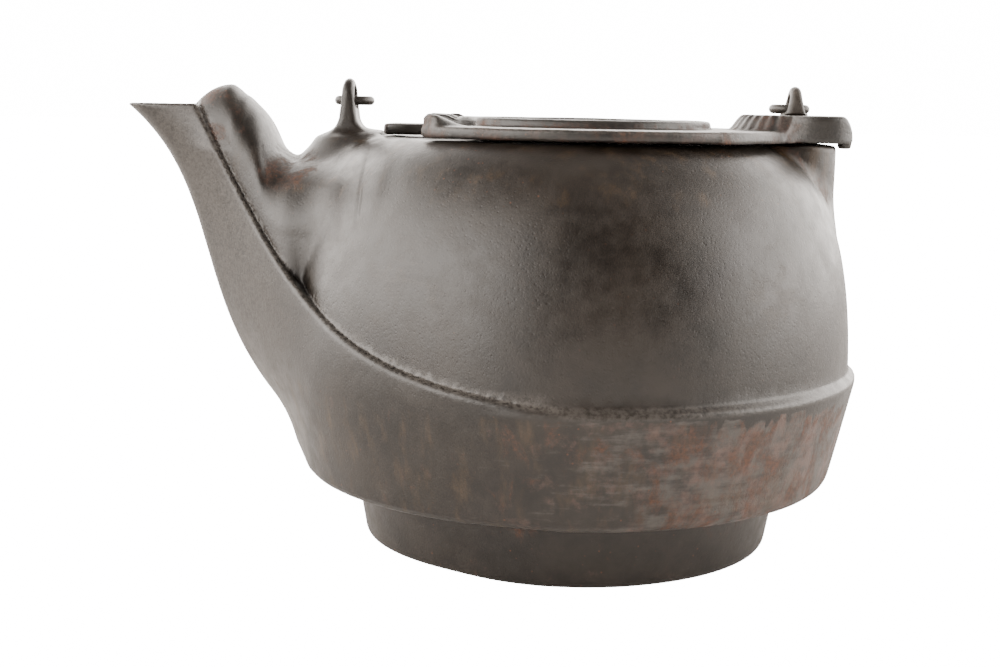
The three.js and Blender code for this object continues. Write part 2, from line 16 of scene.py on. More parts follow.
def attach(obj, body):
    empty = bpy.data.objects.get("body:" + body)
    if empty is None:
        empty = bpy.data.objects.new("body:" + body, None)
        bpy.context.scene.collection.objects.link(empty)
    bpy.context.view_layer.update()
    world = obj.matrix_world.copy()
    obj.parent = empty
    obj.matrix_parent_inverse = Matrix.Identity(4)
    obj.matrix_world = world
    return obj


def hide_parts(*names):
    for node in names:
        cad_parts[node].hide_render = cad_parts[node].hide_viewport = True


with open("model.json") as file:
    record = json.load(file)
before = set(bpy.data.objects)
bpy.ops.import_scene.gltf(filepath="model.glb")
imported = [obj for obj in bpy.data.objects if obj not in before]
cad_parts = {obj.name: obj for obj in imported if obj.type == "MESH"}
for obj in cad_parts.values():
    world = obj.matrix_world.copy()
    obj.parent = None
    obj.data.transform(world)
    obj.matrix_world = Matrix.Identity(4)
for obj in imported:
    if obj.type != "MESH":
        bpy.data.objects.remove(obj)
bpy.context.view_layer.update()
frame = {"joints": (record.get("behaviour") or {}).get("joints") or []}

MM = 0.001
joint_at = {j["name"]: [v / MM for v in j["pos_m"]] for j in frame["joints"]}

# ---- Sizes in millimetres, as in the CAD frame ----
PIVOT_X = joint_at["lid_swivel"][0]
BAIL_Z = joint_at["bail_swing"][2]

FOOT_RADIUS = 88.9
FOOT_TOP_RADIUS = 94.0
FOOT_HEIGHT = 29.0
CORNER_RADIUS = 116.0
CORNER_Z = 37.5
BELT_RADIUS = 124.5
BELT_Z = 75.0
LEDGE_Z = 79.0
SHELL_STEP = 3.0
DOME_RADIUS = BELT_RADIUS - SHELL_STEP
DECK_Z = 173.7
DECK_RADIUS = 83.0
WALL = 2.8
LIP_Z = 185.9
HOOD_STEP = 3.1
HOOD_PINCH = 3.0
HOOD_SINK = 16.0
SEAM_BEVEL = 1.0
BELT_TUCK = 1.3
HOOD_FRONT_X = -166.0
HOOD_BACK_X = -92.0
MOUTH_RADIUS = 50.0
BOSS_RADIUS = 18.4
BOSS_FOOT_Z = 138.0
PAD_RADIUS = 13.0
PAD_Z = 148.0
BORE_RADIUS = 6.3

EAR_X = -97.5
EAR_HOLE_Z = 190.1
EAR_HOLE_RADIUS = 3.9
EAR_HALF_WIDTH = 8.0

LID_X = 4.2
LID_BOTTOM_Z = 174.3
LID_TOP_Z = 179.1
LID_RADIUS = 86.0
MEDALLION_RADIUS = 54.6
MEDALLION_Z = 182.6
SCALLOP_X = -63.0
SCALLOP_Y = 34.0
SCALLOP_RADIUS = 22.5
HUB_TOP_Z = 185.8
HUB_END_X = 120.0
HUB_RADIUS = 14.0
HUB_CROWN_AWAY = 21.0
HUB_FOOT_AWAY = 31.0
HUB_FOOT_SINK = 3.2
HUB_SIDE_SPREAD = 1.05
FLUTES_ROUND = 34
HUB_START_X = 58.0
STOP_PIN_X = 116.8
POST_RADIUS = 5.9
THREAD_PITCH = 1.8
THREAD_TOP_Z = 152.0
HUB_WASHER_RADIUS = 11.0
NUT_WASHER_RADIUS = 9.5
NUT_BOTTOM_Z = 138.8
NUT_TOP_Z = 145.8
NUT_HALF_WIDTH = 7.75

WIRE_RADIUS = 2.0
STEM_OFFSET = 5.2
CURL_OFFSET = 8.0
CURL_REACH = 12.0
NECK_LENGTH = 27.0
NECK_DROP = math.radians(20)
BAIL_LENGTH = 112.0
BAIL_CORNER = 48.0
GRIP_RADIUS = 11.0
GRIP_LENGTH = 100.0
COIL_WIRE = 1.35
COIL_PITCH = 3.0

VOXEL = 1.0


# ---- Distance fields ----

class Grid:
    """An axis-aligned block of sample points, in millimetres."""

    def __init__(self, low, high, step):
        self.low = np.array(low, float)
        self.step = step
        axes = [np.arange(a, b + step, step, dtype=np.float32) for a, b in zip(low, high)]
        self.x = axes[0][:, None, None]
        self.y = axes[1][None, :, None]
        self.z = axes[2][None, None, :]
        self.shape = tuple(len(a) for a in axes)

    def full(self, field):
        return np.broadcast_to(field, self.shape).astype(np.float32)

    def sample(self, field, points):
        """The field's value at each of an array of points."""
        field = np.broadcast_to(field, self.shape)
        at = (points - self.low) / self.step
        first = np.clip(np.floor(at).astype(int), 0, np.array(self.shape) - 2)
        part = np.clip(at - first, 0, 1)
        total = np.zeros(len(points))
        for corner in np.ndindex(2, 2, 2):
            weight = np.prod(np.where(corner, part, 1 - part), axis=1)
            total += weight * field[tuple((first + corner).T)]
        return total


def smooth_min(a, b, k):
    h = np.clip(0.5 + 0.5 * (b - a) / k, 0, 1)
    return b + (a - b) * h - k * h * (1 - h)


def smooth_max(a, b, k):
    return -smooth_min(-a, -b, k)


def chamfer_max(side, top, width):
    """The corner of two faces, cut by a bevel that leans towards the side."""
    return np.maximum(np.maximum(side, top), 0.85 * side + 0.53 * top + width)


def eased(share):
    """A smooth rise from 0 to 1."""
    share = np.clip(share, 0, 1)
    return share * share * (3 - 2 * share)


def band(value, low, high, soft):
    """1 between low and high, easing to 0 over the soft distance on both sides."""
    return np.clip((value - low) / soft + 1, 0, 1) * np.clip((high - value) / soft + 1, 0, 1)


def as_distance(field, step):
    """Rescales a field by its slope, so that it reads as a distance near its surface."""
    slope = np.sqrt(sum(g * g for g in np.gradient(field, step)))
    return field / np.maximum(slope, 0.35)


def bezier(start, control1, control2, end, steps=40):
    t = np.linspace(0, 1, steps + 1)[:, None]
    a, b, c, d = (np.array(v, float) for v in (start, control1, control2, end))
    return (1 - t) ** 3 * a + 3 * (1 - t) ** 2 * t * b + 3 * (1 - t) * t ** 2 * c + t ** 3 * d


def rounded(corners, steps=6):
    """An outline through [r, z] or [r, z, corner radius], with its corners rounded."""
    points = [corners[0][:2]]
    for before, here, after in zip(corners, corners[1:], corners[2:]):
        at = np.array(here[:2], float)
        if len(here) < 3:
            points.append(at)
            continue
        back = np.array(before[:2], float) - at
        on = np.array(after[:2], float) - at
        room = min(np.linalg.norm(back), np.linalg.norm(on)) * 0.5
        back /= np.linalg.norm(back)
        on /= np.linalg.norm(on)
        half = math.acos(np.clip(back @ on, -1, 1)) / 2
        reach = min(here[2] / math.tan(half), room)
        for t in np.linspace(0, 1, steps + 1):
            points.append(at + (1 - t) ** 2 * back * reach + t * t * on * reach)
    points.append(corners[-1][:2])
    return np.array(points, float)


def outline_distance(points, r, z):
    """Signed distance to the closed figure that an outline and its mirror image enclose."""
    loop = np.vstack([points, points[::-1] * [-1, 1]])
    best = np.full(np.broadcast(r, z).shape, 1e9)
    inside = np.zeros(best.shape, bool)
    for a, b in zip(loop, np.roll(loop, -1, axis=0)):
        edge = b - a
        length = edge @ edge
        if length < 1e-12:
            continue
        t = np.clip(((r - a[0]) * edge[0] + (z - a[1]) * edge[1]) / length, 0, 1)
        best = np.minimum(best, np.hypot(r - a[0] - t * edge[0], z - a[1] - t * edge[1]))
        if abs(edge[1]) > 1e-12:
            crosses = (a[1] > z) != (b[1] > z)
            inside ^= crosses & (r < a[0] + (z - a[1]) * edge[0] / edge[1])
    return np.where(inside, -best, best)


def turned(grid, points, x=0.0, y=0.0):
    """Distance to a solid turned about an upright axis from an outline of [r, z] points."""
    radius = np.hypot(grid.x - x, grid.y - y)[:, :, 0]
    samples = np.arange(0, radius.max() + 1, 0.5)
    table = outline_distance(points, samples[:, None], grid.z[0].astype(float))
    field = np.empty(grid.shape, np.float32)
    for k in range(grid.shape[2]):
        field[:, :, k] = np.interp(radius, samples, table[:, k])
    return field


def post(grid, x, y, radius, low, high, edge=1.0):
    """An upright round bar with softened rims."""
    side = grid.full(np.hypot(grid.x - x, grid.y - y) - radius)
    ends = grid.full(np.maximum(low - grid.z, grid.z - high))
    return smooth_max(side, ends, edge)


def above_line(grid, line):
    """Distance above an XZ line that runs along X, measured square to the line."""
    x = grid.x[:, 0, 0].astype(float)
    height = np.interp(x, line[:, 0], line[:, 1])
    slope = np.gradient(height, x)
    lean = np.sqrt(1 + slope ** 2)[:, None, None]
    return ((grid.z - height[:, None, None]) / lean).astype(np.float32)


def ripple(grid, length, height, seed):
    """A gentle unevenness: a few crossed waves of about one length."""
    draw = np.random.default_rng(seed)
    total = np.zeros(grid.shape, np.float32)
    for _ in range(6):
        direction = draw.normal(size=3)
        direction *= 2 * math.pi / (length * draw.uniform(0.7, 1.5) * np.linalg.norm(direction))
        phase = draw.uniform(0, 2 * math.pi)
        total += np.sin(grid.x * direction[0] + grid.y * direction[1] + grid.z * direction[2] + phase)
    return total * (height / 6)


# ---- From fields to meshes ----

def mesh_of(name, grid, field, most_triangles):
    """A smooth-shaded mesh of the field's surface, in metres."""
    volume = openvdb.FloatGrid(5 * grid.step)
    volume.copyFromArray(np.ascontiguousarray(np.clip(field, -5 * grid.step, 5 * grid.step)))
    points, quads = volume.convertToQuads(isovalue=0.0)
    points = points * grid.step + grid.low
    a, b, c, d = (points[quads[:, i]] for i in range(4))
    if np.einsum("ij,ij->i", a, np.cross(b, c)).sum() + np.einsum("ij,ij->i", a, np.cross(c, d)).sum() < 0:
        quads = quads[:, ::-1]
    mesh = bpy.data.meshes.new(name)
    mesh.from_pydata((points * MM).tolist(), [], quads.tolist())
    mesh.update()
    piece = bpy.data.objects.new(name, mesh)
    bpy.context.scene.collection.objects.link(piece)
    share = most_triangles / (2 * len(quads))
    if share < 1:
        thin = piece.modifiers.new("thin_out", "DECIMATE")
        thin.ratio = share
        bpy.context.view_layer.update()
        depsgraph = bpy.context.evaluated_depsgraph_get()
        thinned = bpy.data.meshes.new_from_object(piece.evaluated_get(depsgraph))
        piece.modifiers.clear()
        piece.data = thinned
        bpy.data.meshes.remove(mesh)
        thinned.name = name
    piece.data.shade_smooth()
    return piece


def points_of(piece):
    """The piece's vertices in millimetres."""
    flat = np.empty(len(piece.data.vertices) * 3, np.float32)
    piece.data.vertices.foreach_get("co", flat)
    return flat.reshape(-1, 3).astype(float) / MM


def set_wear(piece, rust=0.0, bloom_and_highlight=0.0, ochre=0.0, edge=0.0):
    """Stores how much rust, pale bloom and painted highlight, ochre stain and edge wear each point has."""
    count = len(piece.data.vertices)
    layers = [np.clip(np.broadcast_to(v, count), 0, 1) for v in (rust, bloom_and_highlight, ochre, edge)]
    wear = piece.data.attributes.new("wear", "FLOAT_COLOR", "POINT")
    wear.data.foreach_set("color", np.column_stack(layers).astype(np.float32).ravel())


def finish_piece(piece, material, body, slot, *nodes):
    piece.data.materials.clear()
    piece.data.materials.append(material)
    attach(piece, body)
    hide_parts(*nodes)


# ---- The curves of the kettle's casting, as [x, z] ----

dome_line = bezier([DOME_RADIUS, LEDGE_Z], [121.2, 119.7], [112.8, 163.5], [DECK_RADIUS, 173.0])
throat_line = np.vstack([
    bezier([-131.6, 60.0], [-168.7, 107.3], [-153.5, 151.1], [-195.7, 185.9])[::-1],
    bezier([-131.6, 60.0], [-126.5, 53.5], [-122.5, 46.0], [-119.4, 32.8])[1:],
])
seam_line = np.vstack([
    bezier([-162.0, 188.0], [-127.8, 125.3], [-108.8, 96.2], [-42.0, 83.6]),
    [[-20.0, 80.0], [0.0, 77.6], [12.0, 74.0], [140.0, 70.0]],
])
hood_line = np.vstack([
    [[-172.0, 176.0]],
    bezier([-165.7, 185.2], [-161.0, 190.5], [-156.0, 194.6], [-148.4, 194.6], 12),
    [[-145.4, 192.4], [-143.6, 190.6], [-141.0, 189.2]],
    bezier([-138.5, 186.6], [-127.0, 177.0], [-133.3, 168.6], [-119.8, 163.1], 14),
    [[-90.0, 160.0]],
])


def smoothed(line, passes=3):
    """The same line, sampled every half millimetre along X with its corners eased."""
    x = np.arange(line[0, 0], line[-1, 0], 0.5)
    z = np.interp(x, line[:, 0], line[:, 1])
    for _ in range(passes):
        z[1:-1] = (z[:-2] + 2 * z[1:-1] + z[2:]) / 4
    return np.column_stack([x, z])


hood_line = smoothed(hood_line)


def throat_x(z):
    return np.interp(z, throat_line[::-1, 1], throat_line[::-1, 0])


def dome_radius(z):
    return np.interp(z, dome_line[:, 1], dome_line[:, 0])


def edge_radius(z):
    """Radius of the spout's rounded edge, by height."""
    return np.clip(15 - 0.03 * (z - 110), 12.5, 15)


WRAP_TOP_Z = 166.7
BELT_SPREAD = 8.0
HEIGHTS = np.arange(0, 210, 0.5)


def sharp_wrap_radius(z):
    """Radius of the round part that a level slice of the spout wraps, with the belt's corner."""
    flare = np.interp(z, [CORNER_Z, BELT_Z], [CORNER_RADIUS, BELT_RADIUS]) - 0.3
    narrowing = dome_radius(WRAP_TOP_Z) + SHELL_STEP - 3.1 * (z - WRAP_TOP_Z)
    upper = np.maximum(narrowing, edge_radius(z) + 2)
    shell = np.where(z < WRAP_TOP_Z, dome_radius(z) + SHELL_STEP, upper)
    return np.where(z < BELT_Z, flare, shell)


def bell_average(values, spread):
    """Values at every half millimetre, averaged by a bell curve."""
    away = np.arange(-3 * spread, 3 * spread + 0.25, 0.5)
    bell = np.exp(-0.5 * (away / spread) ** 2)
    return np.convolve(np.pad(values, len(away) // 2, mode="edge"), bell / bell.sum(), mode="valid")


sharp_wrap = sharp_wrap_radius(HEIGHTS)
eased_wrap = bell_average(sharp_wrap, BELT_SPREAD)
round_belt = np.clip(1.6 - np.abs(HEIGHTS - 84) / 28, 0, 1)
wrap_table = sharp_wrap + (eased_wrap - sharp_wrap) * round_belt


def wrap_radius(z):
    """Radius of the round part that a level slice of the spout wraps."""
    return np.interp(z, HEIGHTS, wrap_table)


# ---- The kettle's body ----

def spout_slices(grid):
    """Level slices of the spout: what a band would enclose round the body and the edge."""
    z = grid.z.astype(float)
    front = edge_radius(z)
    apart = -(throat_x(z) + front)
    back = wrap_radius(z)
    lean = np.clip((back - front) / apart, 0, 0.98)
    rise = np.sqrt(1 - lean ** 2)
    across = np.abs(grid.y)
    along = -grid.x
    run = along * rise - across * lean
    flank = across * rise + along * lean - back
    field = np.where(run < 0, np.hypot(along, across) - back, flank)
    field = np.where(run > apart * rise, np.hypot(along - apart, across) - front, field)
    under = np.interp(z, [29, 30.4, 33.2, CORNER_Z], [9, 3.4, 0.8, 0])
    return np.maximum(field + under, FOOT_HEIGHT - z).astype(np.float32)


def slice_half_width(x, z, inset):
    """Half the width of a level slice of the spout at one x."""
    front = edge_radius(z)
    front_x = throat_x(z) + front
    back = wrap_radius(z)
    lean = np.clip((back - front) / -front_x, 0, 0.98)
    rise = np.sqrt(1 - lean ** 2)
    front_end = front_x - front * lean
    back_end = -back * lean
    share = (x - front_end) / (back_end - front_end)
    flank = (front + (back - front) * share) * rise - inset / rise
    nose = np.sqrt(np.maximum((front - inset) ** 2 - (x - front_x) ** 2, 0))
    tail = np.sqrt(np.maximum((back - inset) ** 2 - x ** 2, 0))
    return np.where(x < front_end, nose, np.where(x > back_end, tail, flank))


def hood(grid):
    """The hood over the spout, with a rounded ridge, standing inside the lower shell's rim."""
    x = grid.x[:, :, 0].astype(float)
    z = grid.z[0].astype(float)
    top = np.interp(x, hood_line[:, 0], hood_line[:, 1])
    arch = np.clip(14 + 0.5 * (x - HOOD_FRONT_X), 14, 30)
    spring = top - arch
    over_seam = np.minimum(z, spring) - np.interp(x, seam_line[:, 0], seam_line[:, 1])
    pinch = HOOD_PINCH * eased(band(x, -138, -116, 20)) * eased(over_seam / 45)
    sink = HOOD_SINK * eased((x + 121) / 29)
    half = slice_half_width(x, np.minimum(z, spring), HOOD_STEP + pinch + sink)
    half = np.maximum(half, 0.5)[:, None, :]
    over = (np.maximum(z - spring, 0) / arch)[:, None, :]
    field = ((np.hypot(grid.y / half, over) - 1) * half).astype(np.float32)
    return as_distance(field, grid.step)


def body_outline():
    return rounded([
        [0, 0],
        [FOOT_RADIUS, 0, 4],
        [FOOT_TOP_RADIUS, FOOT_HEIGHT, 1.5],
        [114.1, FOOT_HEIGHT, 8.8],
        [BELT_RADIUS, BELT_Z, 3],
        [BELT_RADIUS, 77.0, 1.2],
        [DOME_RADIUS, 79.4, 1.6],
        *dome_line[1:].tolist(),
        [DECK_RADIUS - 2, DECK_Z],
        [0, DECK_Z],
    ])


def ear(grid, x, base_z, thicknesses):
    """An upright lug with a round hole; thicknesses are [z, half thickness] pairs."""
    crown = np.hypot(grid.y, grid.z - EAR_HOLE_Z) - EAR_HALF_WIDTH
    sides = np.abs(grid.y) - EAR_HALF_WIDTH
    face = grid.full(np.where(grid.z > EAR_HOLE_Z, crown, sides))
    heights, halves = np.array(thicknesses, float).T
    plate = grid.full(np.abs(grid.x - x) - np.interp(grid.z, heights, halves))
    lug = smooth_max(face, plate, 2.6)
    lug = np.maximum(lug, base_z - grid.z)
    hole = grid.full(EAR_HOLE_RADIUS - np.hypot(grid.y, grid.z - EAR_HOLE_Z))
    return smooth_max(lug, hole, 1.6)


def front_pad(grid):
    outline = rounded([[0, 140], [17.4, 140], [17.4, 166, 5], [14.6, 172.6, 4], [7, 176, 6], [0, 176]])
    return turned(grid, outline, EAR_X)


def swept_by_lid(grid):
    """Distance outside the room above the deck that the lid swings through."""
    sweep = PIVOT_X + LID_RADIUS - LID_X + 0.6
    return grid.full(np.maximum(np.hypot(grid.x - PIVOT_X, grid.y) - sweep, DECK_Z - grid.z))


def spout_and_shell(grid):
    """The casting's outside, and the distance above its seam."""
    round_part = turned(grid, body_outline())
    over_seam = above_line(grid, seam_line)
    slices = as_distance(spout_slices(grid), grid.step)
    spout = chamfer_max(grid.full(np.maximum(slices, grid.z - LIP_Z)), over_seam, SEAM_BEVEL)
    whole_hood = hood(grid)
    ends = grid.full(np.maximum(HOOD_FRONT_X - grid.x, grid.x - HOOD_BACK_X))
    ridge = smooth_max(whole_hood, np.maximum(ends, -12 - over_seam), 1.5)
    under_shell = grid.full(eased(-grid.x / 50)) * eased(-over_seam / 8)
    below_ridge = np.interp(grid.x, hood_line[:, 0], hood_line[:, 1]) - grid.z
    fillet = np.interp(below_ridge, [8, 44], [24, 2.5]).astype(np.float32)
    shell = smooth_min(round_part + BELT_TUCK * under_shell, ridge, fillet)
    shell = smooth_min(shell, front_pad(grid), 9)
    boss = post(grid, PIVOT_X, 0, BOSS_RADIUS, BOSS_FOOT_Z, DECK_Z, 2.5)
    shell = smooth_min(shell, boss, 6)
    shell = smooth_max(shell, -swept_by_lid(grid), 1.0)
    outside = np.minimum(shell, np.where(grid.x < 25, spout, 50))
    return outside, round_part, whole_hood, slices, over_seam


def body_hollow(grid, round_part, whole_hood, slices, over_seam):
    """The space inside the walls, with the spout's channel and its open lip."""
    inside = round_part + WALL
    channel = np.maximum(slices + WALL + 0.5, over_seam + 3.0)
    channel = np.maximum(channel, grid.full(np.maximum(grid.x + 60, 44 - grid.z)))
    hood_ends = grid.full(np.maximum(HOOD_FRONT_X - 4 - grid.x, grid.x - HOOD_BACK_X))
    under_hood = np.maximum(whole_hood + WALL, np.maximum(hood_ends, -12 - over_seam))
    lip = np.maximum(slices + WALL, grid.full(grid.x - HOOD_FRONT_X - 1.0))
    lip = np.maximum(lip, grid.full(160 - grid.z))
    hollow = smooth_min(inside, channel, 0.8)
    hollow = smooth_min(hollow, under_hood, 2)
    hollow = smooth_min(hollow, lip, 1.5)
    mouth = post(grid, LID_X, 0, MOUTH_RADIUS, 150, 200, 0.5)
    return smooth_min(hollow, mouth, 1.2)


def kettle_body():
    grid = Grid((-200, -130, -3), (130, 130, 202), VOXEL)
    outside, round_part, whole_hood, slices, over_seam = spout_and_shell(grid)
    outside = outside + ripple(grid, 55, 0.22, 1) + ripple(grid, 14, 0.04, 2)
    hollow = body_hollow(grid, round_part, whole_hood, slices, over_seam)
    solid = smooth_max(outside, -hollow, 0.9)
    boss_pad = post(grid, PIVOT_X, 0, PAD_RADIUS, PAD_Z, DECK_Z - 1)
    solid = smooth_min(solid, boss_pad, 3)
    solid = smooth_max(solid, -post(grid, PIVOT_X, 0, BORE_RADIUS + 0.2, PAD_Z - 5, 200, 0.1), 0.8)
    lug = ear(grid, EAR_X, 168, [[170, 7.5], [176, 5.6], [181, 3.9], [188, 3.0], [199, 2.2]])
    solid = smooth_min(solid, lug, 3.5)
    piece = mesh_of("kettle_casting", grid, solid, 195000)
    points = points_of(piece)
    seam = grid.sample(over_seam, points)
    flank = grid.sample(slices, points)
    wear_of_body(piece, points, seam, flank)
    return piece


def spot(points, middle, size):
    """A soft round mark: 1 at its middle, falling to 0 about one size away."""
    away = np.linalg.norm((points - np.array(middle)) / np.array(size), axis=1)
    return np.clip(1.35 - away, 0, 1)


def wear_of_body(piece, points, seam, flank):
    x, y, z = points.T
    lower = band(z, 29, 74, 4) * (seam < 2)
    foot = band(z, 0, 27, 2)
    upper = (seam > 0) * (z > LEDGE_Z)
    right = np.clip((x + 40) / 110, 0, 1)
    on_spout = (seam < 1) * np.clip((-x - 105) / 30, 0, 1)
    from_boss = np.hypot(x - PIVOT_X, y) - BOSS_RADIUS
    crease = np.exp(-((from_boss - 1.5) / 2.2) ** 2) * band(z, 146, 172, 3)
    under_lid = band(z, 152, 171.5, 8) * upper
    nose = upper * np.clip((-x - 128) / 22, 0, 1)
    hood_root = spot(points, (-118, -18, 158), (16, 26, 14))
    rust = 0.5 * lower * right + 0.55 * lower + 0.55 * foot + 0.8 * crease
    rust += 0.9 * nose * band(z, 176, 199, 10) + 0.85 * hood_root + 0.35 * under_lid
    rust += 0.2 * on_spout * band(z, 183, 187, 2)
    ochre = 0.9 * crease + 0.7 * under_lid + 0.75 * lower + 0.3 * foot
    spout_stain = spot(points, (-118, -66, 96), (9, 40, 17))
    neck_stain = spot(points, (-146, -20, 122), (5, 30, 9))
    ochre += 0.8 * spout_stain + 0.7 * neck_stain
    ochre += 0.9 * spot(points, (78, -86, 42), (22, 30, 7))
    # The pale patches on the dome's sides are painted highlights, set where the studio's side lights
    # reflect and mirrored on the far side; the paleness on the lower body and foot is mineral bloom.
    facing = np.abs(y) > 45
    near_front_highlight = spot(points, (-62, -100, 122), (26, 60, 24))
    near_rear_highlight = spot(points, (78, -88, 120), (26, 60, 30))
    far_rear_highlight = spot(points, (55, 100, 125), (34, 60, 26))
    far_front_highlight = spot(points, (-70, 95, 115), (30, 60, 24))
    bloom_and_highlight = upper * facing * (0.75 * near_front_highlight + 0.8 * near_rear_highlight)
    bloom_and_highlight += upper * facing * (0.5 * far_rear_highlight + 0.5 * far_front_highlight)
    bloom_and_highlight += 0.6 * lower * right + 0.45 * lower + 0.45 * foot
    rim = np.exp(-((seam - 0.4) / 1.5) ** 2) * (np.abs(flank) < 4.5) * (x < 0)
    wear = 0.9 * rim + 0.35 * on_spout + 0.5 * band(z, 76, 79, 1) * (x > 0)
    set_wear(piece, rust, bloom_and_highlight, ochre, wear)


# ---- The lid ----

def lid_outline():
    return rounded([
        [0, MEDALLION_Z - 4],
        [MEDALLION_RADIUS - 6, MEDALLION_Z - 4, 1.5],
        [MEDALLION_RADIUS - 5, LID_BOTTOM_Z, 1],
        [LID_RADIUS, LID_BOTTOM_Z, 1.4],
        [LID_RADIUS, LID_TOP_Z, 1.6],
        [MEDALLION_RADIUS + 0.6, LID_TOP_Z, 1],
        [MEDALLION_RADIUS, MEDALLION_Z, 1.6],
        [MEDALLION_RADIUS - 4.2, MEDALLION_Z, 0.8],
        [MEDALLION_RADIUS - 5.2, MEDALLION_Z - 0.9, 0.8],
        [0, MEDALLION_Z - 0.9],
    ])


def scallop_lips(grid):
    """A raised lip round each finger scallop: a block at its outer end, sloping to the rear."""
    top = np.interp(grid.x, [-63, -54, -43], [MEDALLION_Z + 1.2, MEDALLION_Z + 0.8, LID_TOP_Z - 0.6])
    block_end = grid.full(-63.5 - grid.x)
    within = grid.full(np.hypot(grid.x - LID_X, grid.y) - LID_RADIUS + 0.5)
    lips = None
    for side in (-1, 1):
        crescent = np.hypot(grid.x - SCALLOP_X, grid.y - side * SCALLOP_Y) - SCALLOP_RADIUS - 8
        block = smooth_max(grid.full(crescent), grid.full(grid.z - top), 4)
        block = smooth_max(block, smooth_max(block_end, within, 2), 2)
        block = np.maximum(block, grid.full(LID_BOTTOM_Z + 1 - grid.z))
        lips = block if lips is None else np.minimum(lips, block)
    return lips


def hub(grid):
    """The raised hub round the pivot, flowing out of the rim, with flutes down its front."""
    behind = np.minimum(grid.x - PIVOT_X, 0)
    away = np.hypot(behind, grid.y * HUB_SIDE_SPREAD)
    rise = eased((HUB_FOOT_AWAY - away) / (HUB_FOOT_AWAY - HUB_CROWN_AWAY))
    foot_z = LID_TOP_Z - HUB_FOOT_SINK
    top = foot_z + (HUB_TOP_Z - foot_z) * rise
    top = top - 0.2 * np.maximum(grid.x - 114, 0) ** 2
    angle = np.arctan2(grid.y, PIVOT_X - grid.x)
    flutes = 0.4 * np.cos(angle * FLUTES_ROUND) * band(away, 22, 30, 2) * (grid.x < PIVOT_X)
    rim = np.hypot(grid.x - LID_X, grid.y) - LID_RADIUS
    along = np.clip(grid.x, PIVOT_X - 10, HUB_END_X - HUB_RADIUS)
    lobe = np.hypot(grid.x - along, grid.y) - HUB_RADIUS
    plan = smooth_min(rim, lobe, 22)
    plan = np.maximum(plan, HUB_START_X - grid.x)
    body = smooth_max(grid.full((grid.z - top + flutes) / 1.15), grid.full(plan), 2.4)
    return np.maximum(body, grid.full(LID_BOTTOM_Z - grid.z))


def swivel_lid():
    grid = Grid((-85, -89, 171), (123, 89, 189), 0.85)
    flange = turned(grid, lid_outline(), LID_X)
    lid = smooth_min(flange, hub(grid), 2.5)
    lid = smooth_min(lid, scallop_lips(grid), 1.6)
    under = grid.full(LID_BOTTOM_Z - grid.z)
    lid = smooth_max(lid, under, 0.6)
    lid = lid + ripple(grid, 45, 0.22, 3) + ripple(grid, 11, 0.08, 4)
    for side in (-1, 1):
        scallop = post(grid, SCALLOP_X, side * SCALLOP_Y, SCALLOP_RADIUS, 150, 200)
        lid = smooth_max(lid, -scallop, 1.2)
    lid = smooth_max(lid, -post(grid, PIVOT_X, 0, BORE_RADIUS, 150, 200), 0.6)
    lid = np.maximum(lid, -post(grid, PIVOT_X, 0, 11.3, 150, 175.9, 0.3))
    lid = np.maximum(lid, -post(grid, STOP_PIN_X, 0, 3.3, 150, 179.3, 0.3))
    piece = mesh_of("lid_casting", grid, lid, 150000)
    points = points_of(piece)
    x, y, z = points.T
    rim = band(np.hypot(x - LID_X, y), LID_RADIUS - 1.5, LID_RADIUS + 9, 1.5)
    medallion = np.hypot(x - LID_X, y) - MEDALLION_RADIUS
    corner = np.exp(-((medallion - 0.8) / 1.6) ** 2) * (z > LID_TOP_Z - 1)
    flutes = band(x, 64, 82, 4) * band(y, -22, 22, 3) * (z > LID_TOP_Z)
    rust = 0.5 * rim + 0.65 * corner + 0.7 * flutes + 0.35
    bloom_and_highlight = 0.12 + 0.3 * np.clip(rim - corner, 0, 1)
    edge = 0.35 * rim * (z > LID_TOP_Z - 1.6)
    set_wear(piece, rust, bloom_and_highlight, 0.35 * flutes + 0.2 * corner, edge)
    return piece


def lid_stop_pin():
    grid = Grid((STOP_PIN_X - 5, -5, 170), (STOP_PIN_X + 5, 5, 181), 0.3)
    outline = rounded([[0, 172], [2.9, 172, 1.6], [3.0, 176, 1], [2.9, 179], [0, 179]])
    pin = turned(grid, outline, STOP_PIN_X) + ripple(grid, 5, 0.12, 5)
    piece = mesh_of("stop_pin", grid, pin, 20000)
    set_wear(piece, 0.45, 0.1, 0.2, 0.3)
    return piece


# ---- The rear ear post and what holds it ----

def rear_ear_post():
    grid = Grid((PIVOT_X - 10, -10, 135), (PIVOT_X + 10, 10, 200), 0.5)
    lug = ear(grid, PIVOT_X, 186.2, [[186, 4.4], [189, 3.4], [193, 2.6], [199, 2.2]])
    shank = post(grid, PIVOT_X, 0, POST_RADIUS, 137, 187, 0.8)
    radius = np.hypot(grid.x - PIVOT_X, grid.y)
    turn = np.arctan2(grid.y, grid.x - PIVOT_X) / (2 * math.pi)
    thread = np.abs(((grid.z / THREAD_PITCH - turn) % 1) - 0.5) * THREAD_PITCH * 0.8
    groove = grid.full(radius - POST_RADIUS + thread)
    threaded = np.where(grid.z < THREAD_TOP_Z, np.maximum(shank, groove), shank)
    post_field = smooth_min(lug, threaded, 1.0)
    piece = mesh_of("rear_ear", grid, post_field, 60000)
    z = points_of(piece)[:, 2]
    set_wear(piece, 0.4 + 0.3 * (z < 190), 0.15, 0.35, 0.4 * (z > 194))
    return piece


def ring(name, outer, low, high, seed):
    grid = Grid((PIVOT_X - outer - 1, -outer - 1, low - 1), (PIVOT_X + outer + 1, outer + 1, high + 1), 0.3)
    disc = post(grid, PIVOT_X, 0, outer - 0.05, low, high, 0.7)
    disc = smooth_max(disc, -post(grid, PIVOT_X, 0, BORE_RADIUS, low - 9, high + 9), 0.5)
    piece = mesh_of(name, grid, disc + ripple(grid, 6, 0.08, seed), 30000)
    set_wear(piece, 0.55, 0.1, 0.3, 0.2)
    return piece


